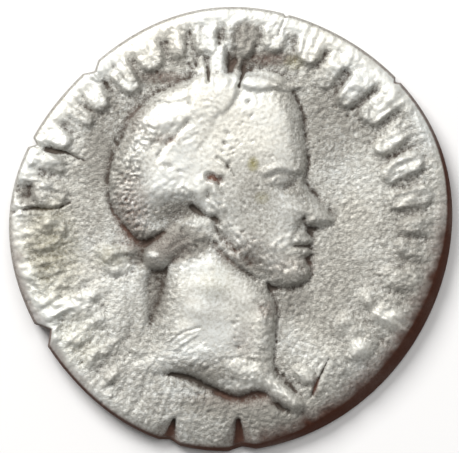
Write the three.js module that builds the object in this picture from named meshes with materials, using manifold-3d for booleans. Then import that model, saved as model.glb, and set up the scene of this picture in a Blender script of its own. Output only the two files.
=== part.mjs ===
// A worn Roman silver denarius, lying on its reverse.
// Obverse: a laureate, bearded head facing right, cut off below the neck, in a ring of shallow strokes.
// Reverse: a draped standing figure with a bowl and a staff, in a ring of wider-set strokes.
// Millimetres, +Z up. The origin is at the middle of the underside; +Y is the top of the obverse.
import * as THREE from "three";
import { mergeVertices } from "three/addons/utils/BufferGeometryUtils.js";
import Module from "manifold-3d";

const wasm = await Module();
wasm.setup();

// The flan, the blank disc of silver that was struck.
const flanRadius = 8.8; // the mean of a hammered, uneven outline
const flanSides = 70;
const reverseField = 0.2; // height of the reverse field above the table
const obverseField = 1.2;
const obverseRim = 1.4;
const rimLand = 0.7; // width of the flat worn rim
const rimSlope = 0.55; // width of the slope from the rim down to the field
const edgeRound = 0.4; // how far the rounded edge stands out past the rim
const sideSlope = 0.5; // how far the reverse stands out past the obverse at the lower right
const slopeAt = 322; // degrees

// Waves of the outline: [number round the edge, size, place of a crest in degrees].
const outlineWaves = [
  [2, 0.2, 50],
  [3, 0.1, 30],
  [4, 0.1, 3],
  [5, 0.04, 28],
];

// Splits in the edge: place in degrees, how far they run in, and how wide they gape at the outline.
const edgeSplits = [
  { at: 41, depth: 0.45, width: 0.3 },
  { at: 75, depth: 0.55, width: 0.26 },
  { at: 131, depth: 0.5, width: 0.6 },
  { at: 157, depth: 0.55, width: 0.3 },
  { at: 210, depth: 0.7, width: 0.6 },
  { at: 254, depth: 1.05, width: 0.28 },
  { at: 273, depth: 1.15, width: 0.3 },
];

// The head follows the classical canon: hairline, brow, nose base and chin stand a third of the face apart.
const head = { crown: 6.2, chin: -2.3, back: -4.7, front: 3.0 };
const third = ((head.crown - head.chin) * 0.8) / 3;
const noseBase = head.chin + third;
const brow = head.chin + 2 * third;
const hairline = head.chin + 3 * third;
const mouth = noseBase - third / 3;

// The large forms of the portrait. Inside the outline, its surface is the highest of them.
const portraitForms = [
  { at: [-0.85, 2.2], half: [5.0, 5.0], height: 0.6 }, // skull and hair
  { at: [1.3, 0.3], half: [3.3, 3.8], height: 0.53 }, // cheek and jaw
  { at: [-0.35, -3.4], half: [3.2, 4.5], height: 0.5 }, // neck
  { at: [-0.4, -5.8], half: [5.2, 3.1], height: 0.4 }, // shoulder
];

const buried = 0.12; // how far each raised form reaches into the field
const sunk = 0.04; // how far the middle of a curl or feature lies below the surface it stands on
const curlHeight = 0.13;
const reverseRelief = 0.15; // below the rim's height, so that the coin rests on its rim alone
const radians = THREE.MathUtils.degToRad;

function solid(geometry) {
  const bare = geometry.clone();
  bare.deleteAttribute("normal");
  bare.deleteAttribute("uv");
  const merged = mergeVertices(bare, 1e-4);
  return new wasm.Manifold(
    new wasm.Mesh({
      numProp: 3,
      vertProperties: merged.attributes.position.array,
      triVerts: merged.index.array,
    }),
  );
}

function geometryOf(made) {
  const { vertProperties, triVerts } = made.getMesh();
  const geometry = new THREE.BufferGeometry();
  geometry.setAttribute("position", new THREE.BufferAttribute(vertProperties, 3));
  geometry.setIndex(new THREE.BufferAttribute(triVerts, 1));
  geometry.computeVertexNormals();
  return geometry;
}

function joined(solids) {
  return solids.reduce((all, next) => all.add(next));
}

function flat(points) {
  return points.map(([x, y]) => new THREE.Vector2(x, y));
}

function curveThrough(points) {
  return new THREE.CatmullRomCurve3(points.map(([x, y]) => new THREE.Vector3(x, y, 0)));
}

// The working plane of each face is its field, at z = 0, and every form below stands up from it.

// An ellipsoid with its middle at height z, so that its upper half stands proud.
function dome([x, y], [halfLength, halfWidth], height, { z = 0, turn = 0, sides = [8, 4] } = {}) {
  const ball = new THREE.SphereGeometry(1, ...sides);
  ball.rotateX(Math.PI / 2);
  ball.scale(halfLength, halfWidth, height);
  ball.rotateZ(turn);
  ball.translate(x, y, z);
  return solid(ball);
}

// A flat outline raised to a height, with its upper edge worn to a slope.
function raised(outline, height, wear, curveSegments = 3) {
  const slope = Math.min(height * 0.8, wear);
  const block = new THREE.ExtrudeGeometry(outline, {
    depth: height - slope + buried,
    bevelThickness: slope,
    bevelSize: wear,
    bevelOffset: -wear,
    bevelSegments: 1,
    curveSegments,
  });
  block.translate(0, 0, -buried);
  return block;
}

function placed(geometry, [x, y], turn, z = 0) {
  geometry.rotateZ(turn);
  geometry.translate(x, y, z);
  return solid(geometry);
}

// A bar with pointed ends, as a worn stroke of the die leaves it.
function stroke(at, length, width, height, turn) {
  const [half, side] = [length / 2, width / 2];
  const shoulder = half - side * 0.8;
  const outline = new THREE.Shape(
    flat([[half, 0], [shoulder, side], [-shoulder, side], [-half, 0], [-shoulder, -side], [shoulder, -side]]),
  );
  return placed(raised(outline, height, side * 0.45), at, turn);
}

// Strokes along an arc round the middle, of uneven length, width and lean.
function ringOfStrokes({ from, to, pitch, inner, outer, width, height }) {
  const uneven = { length: 0.22, width: 0.12, lean: 0.16 }; // the most that each varies
  const count = Math.round((to - from) / pitch);
  return Array.from({ length: count + 1 }, (_, i) => {
    const angle = radians(from + (i * (to - from)) / count);
    const near = inner + uneven.length * Math.sin(i * 2.4);
    const middle = (near + outer) / 2;
    const at = [middle * Math.cos(angle), middle * Math.sin(angle)];
    const broad = width + uneven.width * Math.sin(i * 3.1);
    const turn = angle + uneven.lean * Math.sin(i * 1.7);
    return stroke(at, outer - near, broad, height, turn);
  });
}

function outlineScale(angle) {
  const rise = outlineWaves.reduce((sum, [count, size, crest]) => {
    return sum + size * Math.cos(count * (angle - radians(crest)));
  }, 0);
  return 1 + rise / flanRadius;
}

function slopeOut(angle, height) {
  const facing = Math.max(0, Math.cos(angle - radians(slopeAt)));
  return sideSlope * facing ** 2 * (1 - height / obverseRim);
}

// Half the section of the flan, from the axis over the reverse, round the edge and back over the obverse.
function flanProfile() {
  const landEdge = flanRadius - edgeRound;
  const landStart = landEdge - rimLand;
  const fieldEdge = landStart - rimSlope;
  const reverse = [[0, reverseField], [fieldEdge, reverseField], [landStart, 0], [landEdge, 0]];
  const obverse = [[landEdge, obverseRim], [landStart, obverseRim], [fieldEdge, obverseField], [0, obverseField]];
  const middle = obverseRim / 2;
  const facets = 5;
  const edge = Array.from({ length: facets - 1 }, (_, i) => {
    const turn = -Math.PI / 2 + (Math.PI * (i + 1)) / facets;
    return [landEdge + edgeRound * Math.cos(turn), middle + middle * Math.sin(turn)];
  });
  return flat([...reverse, ...edge, ...obverse]);
}

function flanBody() {
  const turned = new THREE.LatheGeometry(flanProfile(), flanSides);
  turned.rotateX(Math.PI / 2);
  const corners = turned.attributes.position;
  const rimStart = flanRadius - edgeRound - rimLand;
  for (let i = 0; i < corners.count; i += 1) {
    const [x, y] = [corners.getX(i), corners.getY(i)];
    const [angle, radius] = [Math.atan2(y, x), Math.hypot(x, y)];
    const onRim = radius > rimStart * 0.99;
    const outwards = onRim ? slopeOut(angle, corners.getZ(i)) / radius : 0;
    const scale = outlineScale(angle) + outwards;
    corners.setXY(i, x * scale, y * scale);
  }
  return solid(turned);
}

// A wedge that opens outwards, cut through the whole thickness.
function splitCutter({ at, depth, width }) {
  const angle = radians(at);
  const edge = flanRadius * outlineScale(angle);
  const past = 1; // how far the wedge runs on outside the edge
  const side = (width / 2) * ((depth + past) / depth);
  const wedge = new THREE.Shape(flat([[edge - depth, 0], [edge + past, -side], [edge + past, side]]));
  const cutter = new THREE.ExtrudeGeometry(wedge, { depth: obverseRim * 3, bevelEnabled: false });
  return placed(cutter, [0, 0], angle, -obverseRim);
}

function portraitHeight(x, y) {
  const heights = portraitForms.map(({ at, half, height }) => {
    const away = ((x - at[0]) / half[0]) ** 2 + ((y - at[1]) / half[1]) ** 2;
    return away < 1 ? height * Math.sqrt(1 - away) : 0;
  });
  return Math.max(...heights);
}

// The outline of the head and bust, from the tip of the cut, up the face, over the hair and down the back.
function portraitOutline() {
  const { front, chin, crown, back } = head;
  const throat = [[2.8, -6.7], [2.05, -5.8], [1.8, -4.6], [1.75, -3.5], [1.4, -2.75]];
  const lowerFace = [
    [front - 0.7, chin - 0.25],
    [front + 0.1, chin + 0.15],
    [front + 0.28, chin + 0.6],
    [front + 0.06, mouth - 0.5],
    [front + 0.3, mouth - 0.22],
    [front + 0.14, mouth],
    [front + 0.4, mouth + 0.25],
    [front + 0.2, noseBase],
  ];
  const upperFace = [
    [front + third / 2, noseBase + 0.4],
    [front + 0.05, brow - 0.3],
    [front + 0.08, brow + 0.25],
    [front + 0.02, (brow + hairline) / 2],
    [front - 0.1, hairline],
  ];
  const hair = [
    [2.5, 5.45],
    [1.2, 6.05],
    [-0.6, crown],
    [-2.3, 5.8],
    [-3.7, 4.8],
    [-4.5, 3.4],
    [back, 1.8],
    [-4.3, 0.3],
    [-3.3, -0.85],
    [-2.75, -1.3],
  ];
  const nape = [[-2.45, -2.4], [-2.6, -3.8], [-3.2, -4.9], [-4.1, -5.6]];
  const cut = [[-2.6, -5.9], [-1.4, -6.05], [-0.5, -6.55], [0.4, -6.85], [1.35, -6.55]];
  const tip = [[2.05, -7.0], [2.75, -7.5], [2.95, -7.35]];
  const outline = new THREE.Shape();
  outline.moveTo(2.95, -7.35);
  outline.splineThru(flat(throat));
  outline.splineThru(flat(lowerFace));
  outline.lineTo(front + third / 2.1, noseBase + 0.12);
  outline.splineThru(flat(upperFace));
  outline.splineThru(flat(hair));
  outline.splineThru(flat(nape));
  outline.lineTo(-4.0, -5.95);
  outline.splineThru(flat(cut));
  outline.splineThru(flat(tip));
  return outline;
}

function portraitBody() {
  const block = new THREE.ExtrudeGeometry(portraitOutline(), {
    depth: 1 + buried, // taller than every form, which trim it
    bevelEnabled: false,
    curveSegments: 2,
  });
  block.translate(0, 0, -buried);
  const forms = portraitForms.map(({ at, half, height }) => dome(at, half, height, { sides: [26, 10] }));
  return solid(block).intersect(joined(forms));
}

// A pointed laurel leaf with its stem at the given place, standing a little above the hair there.
function leaf([x, y], length, width, turn) {
  const lift = 0.07;
  const lowest = 0.28; // the height of a leaf that lies out on the field
  const bulge = width * 0.95; // the handle of each side's curve, which reaches about half as far
  const outline = new THREE.Shape();
  outline.moveTo(0, 0);
  outline.quadraticCurveTo(length * 0.35, bulge, length, 0);
  outline.quadraticCurveTo(length * 0.35, -bulge, 0, 0);
  const middle = [x + (length / 2) * Math.cos(turn), y + (length / 2) * Math.sin(turn)];
  const height = Math.max(portraitHeight(...middle), lowest) + lift;
  return placed(raised(outline, height, width * 0.24), [x, y], turn);
}

// Pairs of leaves along a stem that rises from the nape, over the ear, to the front of the hair.
function wreath() {
  const stem = curveThrough([[-3.4, -0.4], [-3.1, 1.3], [-2.1, 3.0], [-0.6, 4.3], [1.1, 5.0]]);
  const pairs = 6;
  const leaves = [];
  for (let i = 0; i < pairs; i += 1) {
    const along = i / (pairs - 1);
    const at = stem.getPointAt(along);
    const way = stem.getTangentAt(along);
    const turn = Math.atan2(way.y, way.x);
    const length = 1.25 + 0.3 * along;
    leaves.push(leaf([at.x, at.y], length, 0.55, turn + 0.5));
    leaves.push(leaf([at.x, at.y], length, 0.5, turn - 0.45));
  }
  // the last leaves stand clear of the hair above the forehead
  leaves.push(leaf([-0.75, 5.5], 1.6, 0.55, radians(108)));
  leaves.push(leaf([-0.05, 5.5], 1.75, 0.6, radians(84)));
  leaves.push(leaf([0.8, 5.75], 1.9, 0.6, radians(4)));
  return leaves;
}

// A tie of the wreath: beads that run into each other along a curve.
function tie(path, halfWidth, height) {
  const bow = curveThrough(path);
  const beads = 4;
  const length = bow.getLength() / beads;
  return Array.from({ length: beads }, (_, i) => {
    const along = (i + 0.5) / beads;
    const at = bow.getPointAt(along);
    const way = bow.getTangentAt(along);
    return dome([at.x, at.y], [length * 0.95, halfWidth], height, { turn: Math.atan2(way.y, way.x) });
  });
}

// A row of curls along an arc, each turned from the arc's spoke by the sweep.
function curls({ centre, radius, from, to, count, length, width, sweep }) {
  return Array.from({ length: count }, (_, i) => {
    const angle = radians(from + ((to - from) * i) / (count - 1));
    const x = centre[0] + radius * Math.cos(angle);
    const y = centre[1] + radius * Math.sin(angle);
    const turn = angle + radians(sweep);
    const z = portraitHeight(x, y) - sunk;
    return dome([x, y], [length / 2, width / 2], curlHeight, { z, turn, sides: [6, 4] });
  });
}

function hairAndBeard() {
  const crown = { centre: [-0.9, 2.0], length: 0.95, width: 0.55, sweep: 55 };
  const fringe = { centre: [-0.2, 2.4], length: 0.8, width: 0.5, sweep: 70 };
  const beard = { centre: [0.9, 1.5], length: 0.66, width: 0.46, sweep: 25 };
  return [
    ...curls({ ...crown, radius: 3.5, from: 95, to: 212, count: 9 }),
    ...curls({ ...crown, radius: 2.9, from: 102, to: 200, count: 7 }),
    ...curls({ ...crown, radius: 1.7, from: 95, to: 190, count: 4 }),
    ...curls({ ...fringe, radius: 2.9, from: 30, to: 85, count: 5 }),
    ...curls({ ...beard, radius: 3.85, from: 238, to: 308, count: 8 }),
    ...curls({ ...beard, radius: 3.35, from: 230, to: 303, count: 7 }),
    ...curls({ ...beard, radius: 2.85, from: 218, to: 262, count: 4 }),
  ];
}

// A calm, plain face, with every feature placed by the thirds.
function features() {
  const onSurface = ([x, y], half, height, turn = 0, sides = [9, 4]) => {
    return dome([x, y], half, height, { z: portraitHeight(x, y) - sunk, turn, sides });
  };
  const eye = [head.front - 0.75, brow - 0.42];
  const cheek = [head.front - 0.85, noseBase + 0.35];
  const ear = [(head.front + head.back) / 2 - 0.1, (brow + noseBase) / 2];
  return [
    onSurface(eye, [0.36, 0.17], 0.13),
    onSurface([eye[0] + 0.1, brow], [0.8, 0.17], 0.13, radians(-4)),
    onSurface(cheek, [0.9, 0.75], 0.09),
    onSurface(ear, [0.45, 0.95], 0.15, radians(-8)),
    dome([head.front + 0.45, noseBase + 0.3], [0.4, 0.3], 0.3, { z: 0.15 }), // wing of the nose
  ];
}

function obverseRelief() {
  const knot = dome([-2.05, -0.9], [1.3, 0.5], 0.62, { turn: radians(28), sides: [10, 6] });
  return joined([
    portraitBody(),
    knot,
    ...tie([[-3.2, -1.5], [-3.5, -2.8], [-3.55, -4.3]], 0.28, 0.2),
    ...tie([[-3.3, -0.9], [-4.2, -0.9], [-4.9, -1.5]], 0.24, 0.18),
    ...wreath(),
    ...hairAndBeard(),
    ...features(),
    ...ringOfStrokes({ from: -52, to: 208, pitch: 8.3, inner: 6.55, outer: 8.1, width: 0.62, height: 0.24 }),
  ]);
}

function skirt() {
  const [hem, waist] = [-5.0, 1.0];
  const outline = new THREE.Shape();
  outline.moveTo(-1.4, hem);
  outline.splineThru(flat([[-1.15, -2.6], [-0.95, -0.4], [-0.75, waist]]));
  outline.lineTo(0.75, waist);
  outline.splineThru(flat([[1.0, -0.4], [1.2, -2.6], [1.5, hem]]));
  const folds = [-0.8, -0.27, 0.3, 0.88].map((x) => {
    return dome([x * 0.95, -2.3], [2.5, 0.2], reverseRelief, { turn: radians(90 - x * 5) });
  });
  return [solid(raised(outline, reverseRelief * 0.6, 0.15, 2)), ...folds];
}

// A plain figure whose head has no face.
function reverseFigure() {
  const low = reverseRelief * 0.85;
  return [
    ...skirt(),
    dome([0, 1.5], [0.95, 1.2], reverseRelief, { sides: [10, 4] }), // chest
    dome([0.1, 2.75], [0.32, 0.5], low), // neck
    dome([0.05, 3.6], [0.62, 0.75], reverseRelief, { sides: [10, 4] }), // head
    dome([-1.8, 1.3], [1.35, 0.28], low, { turn: radians(24) }), // arm held out
    dome([-3.1, 0.95], [0.6, 0.34], reverseRelief), // bowl
    dome([1.55, 1.75], [1.15, 0.28], low, { turn: radians(14) }), // raised arm
    stroke([2.6, -0.1], 10, 0.24, low, Math.PI / 2), // staff
    stroke([0, -5.35], 7, 0.26, low, 0), // ground line
  ];
}

function reverseReliefForms() {
  const ring = ringOfStrokes({
    from: -50,
    to: 230,
    pitch: 13.5,
    inner: 6.1,
    outer: 7.5,
    width: 0.6,
    height: reverseRelief,
  });
  return joined([...reverseFigure(), ...ring]);
}

function coinSolid() {
  const obverse = obverseRelief().translate([0, 0, obverseField]);
  const turnedOver = [180, 0, 180]; // half a turn about Y
  const reverse = reverseReliefForms().rotate(turnedOver).translate([0, 0, reverseField]);
  const struck = flanBody().add(obverse).add(reverse);
  return edgeSplits.reduce((coin, split) => coin.subtract(splitCutter(split)), struck);
}

const silver = new THREE.MeshStandardMaterial({ color: 0xb9b6ad, metalness: 0.8, roughness: 0.5 });
const coin = new THREE.Mesh(geometryOf(coinSolid()), silver);
coin.name = "coin";
const box = new THREE.Box3().setFromObject(coin);
coin.position.set(-(box.min.x + box.max.x) / 2, -(box.min.y + box.max.y) / 2, -box.min.z);

const denarius = new THREE.Group();
denarius.add(coin);

export default denarius;
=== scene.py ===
# A worn silver denarius lying on a pale table, obverse up.
import math
import bpy
import bmesh
import numpy as np
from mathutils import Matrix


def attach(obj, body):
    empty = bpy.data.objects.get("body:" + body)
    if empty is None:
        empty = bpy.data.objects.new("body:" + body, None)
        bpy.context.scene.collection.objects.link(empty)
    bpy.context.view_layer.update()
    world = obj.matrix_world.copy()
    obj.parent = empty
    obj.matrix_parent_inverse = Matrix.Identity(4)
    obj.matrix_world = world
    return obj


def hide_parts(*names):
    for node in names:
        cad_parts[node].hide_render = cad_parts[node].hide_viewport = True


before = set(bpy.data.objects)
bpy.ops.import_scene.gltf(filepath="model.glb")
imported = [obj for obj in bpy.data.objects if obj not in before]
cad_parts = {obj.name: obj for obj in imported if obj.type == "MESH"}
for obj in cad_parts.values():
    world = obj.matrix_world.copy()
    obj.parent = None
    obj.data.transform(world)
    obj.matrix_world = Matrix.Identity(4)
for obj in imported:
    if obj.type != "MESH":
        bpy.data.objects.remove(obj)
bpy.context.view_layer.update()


# the working plane of a die
dieSheet = {
    "half": 9.4,     # mm from the middle to each side of the sheet
    "step": 0.025,   # mm between its points
}
sheetAxis = np.arange(-dieSheet["half"], dieSheet["half"], dieSheet["step"], dtype=np.float32)
sheetX, sheetY = np.meshgrid(sheetAxis, sheetAxis)
sheetR = np.hypot(sheetX, sheetY)
sheetAngle = np.degrees(np.arctan2(sheetY, sheetX)) % 360


def clip01(values):
    return np.clip(values, 0, 1)


def smoothStep(low, high, values):
    t = clip01((values - low) / (high - low))
    return t * t * (3 - 2 * t)


def blur(values, width, stretch=1, degrees=0):   # width in mm; stretch is along the degrees
    rows = np.fft.fftfreq(values.shape[0], dieSheet["step"])[:, None]
    columns = np.fft.rfftfreq(values.shape[1], dieSheet["step"])[None, :]
    a = math.radians(degrees)
    along = (columns * math.cos(a) + rows * math.sin(a)) * stretch
    across = rows * math.cos(a) - columns * math.sin(a)
    soften = np.exp(-2 * (math.pi * width) ** 2 * (along ** 2 + across ** 2))
    return np.fft.irfft2(np.fft.rfft2(values) * soften, values.shape).astype(np.float32)


def grain(seed, size, stretch=1, degrees=0):   # noise with bumps of this size in mm
    noise = np.random.default_rng(seed).standard_normal(sheetX.shape).astype(np.float32)
    band = blur(noise, size / 3, stretch, degrees) - blur(noise, size, stretch, degrees)
    return band / band.std()


def beads(seed, spacing, stretch, degrees):   # rounded bumps side by side, 1 at their tops
    cells = 256      # each way, more than the sheet needs
    spots = np.random.default_rng(seed).uniform(0.12, 0.88, (2, cells, cells))
    a = math.radians(degrees)
    u = (sheetX * math.cos(a) + sheetY * math.sin(a)) / (spacing * stretch) + cells / 2
    v = (sheetY * math.cos(a) - sheetX * math.sin(a)) / spacing + cells / 2
    nearest = np.full(u.shape, 9.0, dtype=np.float32)
    for i in (-1, 0, 1):
        for j in (-1, 0, 1):
            column = np.floor(u).astype(int) + i
            row = np.floor(v).astype(int) + j
            du = column + spots[0, row % cells, column % cells] - u
            dv = row + spots[1, row % cells, column % cells] - v
            np.minimum(nearest, du * du + dv * dv, out=nearest)
    return clip01(1 - 1.8 * nearest)


def turnsNear(angle, middle, reach):   # 1 at the middle of a stretch of the circle, 0 past its reach
    away = np.abs((angle - middle + 180) % 360 - 180)
    return 1 - smoothStep(reach * 0.6, reach, away)


def softMax(a, b, blend):
    share = clip01(0.5 + 0.5 * (a - b) / blend)
    return b + (a - b) * share + blend * share * (1 - share)


def softMin(a, b, blend):
    return -softMax(-a, -b, blend)


def curve(points, closed=False, spans=6):   # a smooth line through the points, in short straight spans
    p = np.array(points, dtype=np.float32)
    if closed:
        q = np.vstack([p[-1], p, p[0], p[1]])
    else:
        q = np.vstack([2 * p[0] - p[1], p, 2 * p[-1] - p[-2]])
    line = []
    for i in range(len(q) - 3):
        a, b, c, d = q[i:i + 4]
        for t in np.arange(spans) / spans:
            line.append(0.5 * (2 * b + (c - a) * t + (2 * a - 5 * b + 4 * c - d) * t ** 2
                               + (3 * b - a - 3 * c + d) * t ** 3))
    if not closed:
        line.append(p[-1])
    return np.array(line, dtype=np.float32)


def window(line, margin):   # the part of the sheet round a line
    low = (line.min(axis=0) - margin + dieSheet["half"]) / dieSheet["step"]
    high = (line.max(axis=0) + margin + dieSheet["half"]) / dieSheet["step"] + 2
    size = len(sheetAxis)
    x0, y0 = np.clip(low.astype(int), 0, size)
    x1, y1 = np.clip(high.astype(int), 0, size)
    return slice(y0, y1), slice(x0, x1)


def nearness(line, radii, area):   # distance from the line over its radius there: 0 on it, 1 at its side
    x, y = sheetX[area], sheetY[area]
    best = np.full(x.shape, 9.0, dtype=np.float32)
    for i in range(len(line) - 1):
        (ax, ay), (bx, by) = line[i], line[i + 1]
        dx, dy = bx - ax, by - ay
        length2 = max(dx * dx + dy * dy, 1e-9)
        t = clip01(((x - ax) * dx + (y - ay) * dy) / length2)
        away = np.hypot(x - ax - t * dx, y - ay - t * dy)
        np.minimum(best, away / (radii[i] + t * (radii[i + 1] - radii[i])), out=best)
    return best


def insideDistance(line):   # mm inside a closed line, negative outside
    x, y = sheetX, sheetY
    best = np.full(x.shape, 99.0, dtype=np.float32)      # squared, until the end
    inside = np.zeros(x.shape, dtype=bool)
    for i in range(len(line)):
        (ax, ay), (bx, by) = line[i], line[(i + 1) % len(line)]
        dx, dy = bx - ax, by - ay
        t = clip01(((x - ax) * dx + (y - ay) * dy) / max(dx * dx + dy * dy, 1e-9))
        np.minimum(best, (x - ax - t * dx) ** 2 + (y - ay - t * dy) ** 2, out=best)
        if dy != 0:
            inside ^= ((ay > y) != (by > y)) & (x < dx * (y - ay) / dy + ax)
    return np.where(inside, 1, -1) * np.sqrt(best)


def pillow(distance, width, height):   # a form that rounds up from its outline over this width
    t = clip01(distance / width)
    return height * np.sqrt(1 - (1 - t) ** 2)


def ridge(sheet, points, radius, height, taper=(1, 1), shape=1.0, spans=3):   # a raised line, or a groove
    line = curve(points, spans=spans) if len(points) > 2 else np.array(points, dtype=np.float32)
    along = np.linspace(0, 1, len(line))
    radii = radius * (taper[0] + (taper[1] - taper[0]) * along)
    area = window(line, radius * max(taper) * 1.05)
    q = nearness(line, radii, area)
    sheet[area] += height * clip01(1 - q * q) ** shape


def flatten(sheet, at, halfLength, halfWidth, height, soft):   # brings a round patch to one height
    q = np.hypot((sheetX - at[0]) / halfLength, (sheetY - at[1]) / halfWidth)
    share = 1 - smoothStep(1 - soft, 1, q)
    sheet += (height - sheet) * share


def leafShape(sheet, start, end, width, height, vein, bend):   # pointed at both ends, with a groove along it
    start = np.array(start, dtype=float)
    way = np.array(end, dtype=float) - start
    side = np.array([-way[1], way[0]])
    t = np.linspace(0, 1, 9)[:, None]
    line = (start + way * t + side * bend * 4 * t * (1 - t)).astype(np.float32)
    swell = np.sin(np.pi * np.clip(t[:, 0], 0.03, 0.97) ** 0.8) ** 0.8
    area = window(line, width)
    q = nearness(line, np.maximum(width / 2 * swell, 0.02), area)
    body = clip01(1 - q ** 2.2) ** 0.6
    groove = np.exp(-(q / 0.22) ** 2) * clip01(1.2 - q)
    sheet[area] += height * (body - vein * groove * (body > 0))


def dome(sheet, at, halfLength, halfWidth, height, turn=0.0, shape=1.0):   # an oval bump, or a hollow
    reach = max(halfLength, halfWidth)
    area = window(np.array([at], dtype=np.float32), reach * 1.05)
    x, y = sheetX[area] - at[0], sheetY[area] - at[1]
    c, s = math.cos(math.radians(turn)), math.sin(math.radians(turn))
    q = ((x * c + y * s) / halfLength) ** 2 + ((y * c - x * s) / halfWidth) ** 2
    sheet[area] += height * clip01(1 - q) ** shape


# the head, on the thirds of the classical canon
portrait = {
    "crown": 6.2,          # mm above the middle of the coin
    "chin": -2.3,
    "hairline": 0.8,       # share of the head's height, and the face below it has three equal parts
    "back": -4.85,         # mm to its left
    "front": 3.0,
    "relief": 0.50,        # mm that the cheek stands above the field
    "neckRelief": 0.44,
    "wear": 0.66,          # mm above the field that wear has cut the relief down to
    "beads": 0.20,         # mm between the small curls of hair
    "beardBeads": 0.17,
    "gutter": 0.07,        # mm deep, the groove of dirt round the head
}
third = (portrait["crown"] - portrait["chin"]) * portrait["hairline"] / 3
noseBase = portrait["chin"] + third
brow = portrait["chin"] + 2 * third
hairline = portrait["chin"] + 3 * third
mouth = noseBase - third / 3
front = portrait["front"]
chin = portrait["chin"]


def headOutline():
    face = curve([
        (front - 0.1, hairline), (front + 0.04, (brow + hairline) / 2), (front + 0.1, brow + 0.3),
        (front + 0.02, brow - 0.3), (front + 0.2, brow - 0.75), (front + third / 2 - 0.05, noseBase + 0.5),
        (front + third / 2, noseBase + 0.2), (front + third / 3, noseBase + 0.02),
        (front + 0.2, noseBase - 0.02), (front + 0.2, noseBase - 0.3), (front + 0.36, mouth + 0.2),
        (front + 0.16, mouth), (front + 0.3, mouth - 0.25), (front + 0.08, mouth - 0.52),
        (front + 0.24, chin + 0.55), (front + 0.12, chin + 0.16), (front - 0.5, chin - 0.12),
        (front - 1.3, chin - 0.1),
    ], spans=4)
    jaw = [(0.55, -1.7), (-0.3, -0.95), (-0.85, -0.1)]
    nape = [(-1.7, 0.1), (-2.6, -0.45), (-3.5, -0.6)]
    hair = [
        (-4.2, 0.0), (-4.7, 0.8), (portrait["back"], 1.75), (-4.68, 2.8), (-4.3, 3.6), (-3.95, 4.4),
        (-3.2, 5.15), (-2.4, 5.6), (-1.5, 5.98), (0.2, portrait["crown"]), (1.6, 6.0), (2.5, 5.45),
    ]
    back = curve(jaw + nape + hair, spans=4)
    return np.vstack([face, back])


def neckOutline():
    return curve([
        (1.3, -1.8), (1.62, -2.7), (1.88, -3.4), (1.82, -4.6), (1.78, -5.6), (2.1, -6.2), (2.75, -6.75),
        (3.05, -7.15), (2.75, -7.5), (2.1, -7.2), (1.55, -6.8), (1.05, -6.65), (0.4, -6.85), (-0.2, -6.7),
        (-0.9, -6.35), (-1.6, -6.0), (-2.4, -5.9), (-3.3, -5.9), (-3.9, -5.6), (-3.6, -5.0), (-3.2, -4.0),
        (-2.75, -2.9), (-2.55, -1.9), (-2.2, -0.9), (-0.5, -0.2),
    ], closed=True, spans=4)


def portraitForm():
    headIn = insideDistance(headOutline())
    neckIn = insideDistance(neckOutline())
    swell = np.zeros_like(headIn)
    dome(swell, (-0.9, 3.4), 3.9, 3.2, 0.17, shape=1.2)      # skull
    dome(swell, (1.3, 0.3), 2.1, 1.7, 0.10, turn=-50, shape=1.3)     # cheek and jaw
    dome(swell, (-2.1, 0.55), 1.9, 0.85, -0.16, turn=12, shape=1.2)     # hollow above the knot
    skull = pillow(headIn, 1.7, portrait["relief"]) + swell * clip01(headIn / 0.6)
    neck = pillow(neckIn, 0.75, portrait["neckRelief"])
    neck = neck * (1 - 0.28 * smoothStep(-3.4, -6.6, sheetY)) * (1 - 0.75 * smoothStep(-1.6, -3.9, sheetX))
    swell = np.zeros_like(headIn)
    dome(swell, (-0.45, -3.0), 1.6, 2.1, 0.12, shape=1.2)     # the throat
    dome(swell, (-0.6, -5.4), 2.6, 0.8, 0.04, turn=-10, shape=1.2)   # shoulder
    ridge(swell, [(0.3, -5.75), (1.1, -5.9), (1.8, -6.3), (2.6, -6.95)], 0.42, 0.09, shape=0.8)    # hem
    neck = neck + swell * clip01(neckIn / 0.5)
    underJaw = np.exp(-np.clip(-headIn, 0, 9) / 0.32) * (headIn < 0)
    neck = np.where(neckIn > 0, neck - 0.22 * underJaw * clip01(neckIn / 0.4), neck)
    return np.maximum(skull, np.maximum(neck, 0)), headIn, neckIn


def hairRelief(headIn):
    aboutHead = np.degrees(np.arctan2(sheetY - 2.2, sheetX + 1.0)) % 360
    hair = smoothStep(0.1, 0.9, (sheetY - 1.5) * 0.55 - (sheetX + 0.4) * 0.83)
    hair = np.maximum(hair, smoothStep(0.1, 0.5, sheetY - 4.75 - 0.10 * (sheetX - 1)))
    back = turnsNear(aboutHead, 190, 62) * (1 - smoothStep(0.75, 1.55, headIn + 0.25 * grain(18, 0.8)))
    gathered = np.zeros_like(headIn)
    dome(gathered, (-2.15, 0.45), 1.55, 0.85, 1.0, turn=32, shape=0.6)    # smooth, down to the knot
    curls = beads(3, portrait["beads"], stretch=1.25, degrees=65) * (0.75 + 0.25 * grain(4, 0.9))
    curls = curls + 0.32 * np.maximum(grain(19, 0.11), -1)
    combed = grain(6, 0.16, stretch=4, degrees=35)
    low = smoothStep(2.6, 1.6, sheetY)
    sheet = 0.094 * back * curls * (1 - 0.85 * gathered)
    sheet = sheet + (0.0020 + 0.0035 * low) * hair * (1 - back) * combed
    return sheet + 0.006 * hair * (1 - back) * grain(7, 0.15) * clip01(0.4 + 0.6 * grain(8, 0.9))


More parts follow.
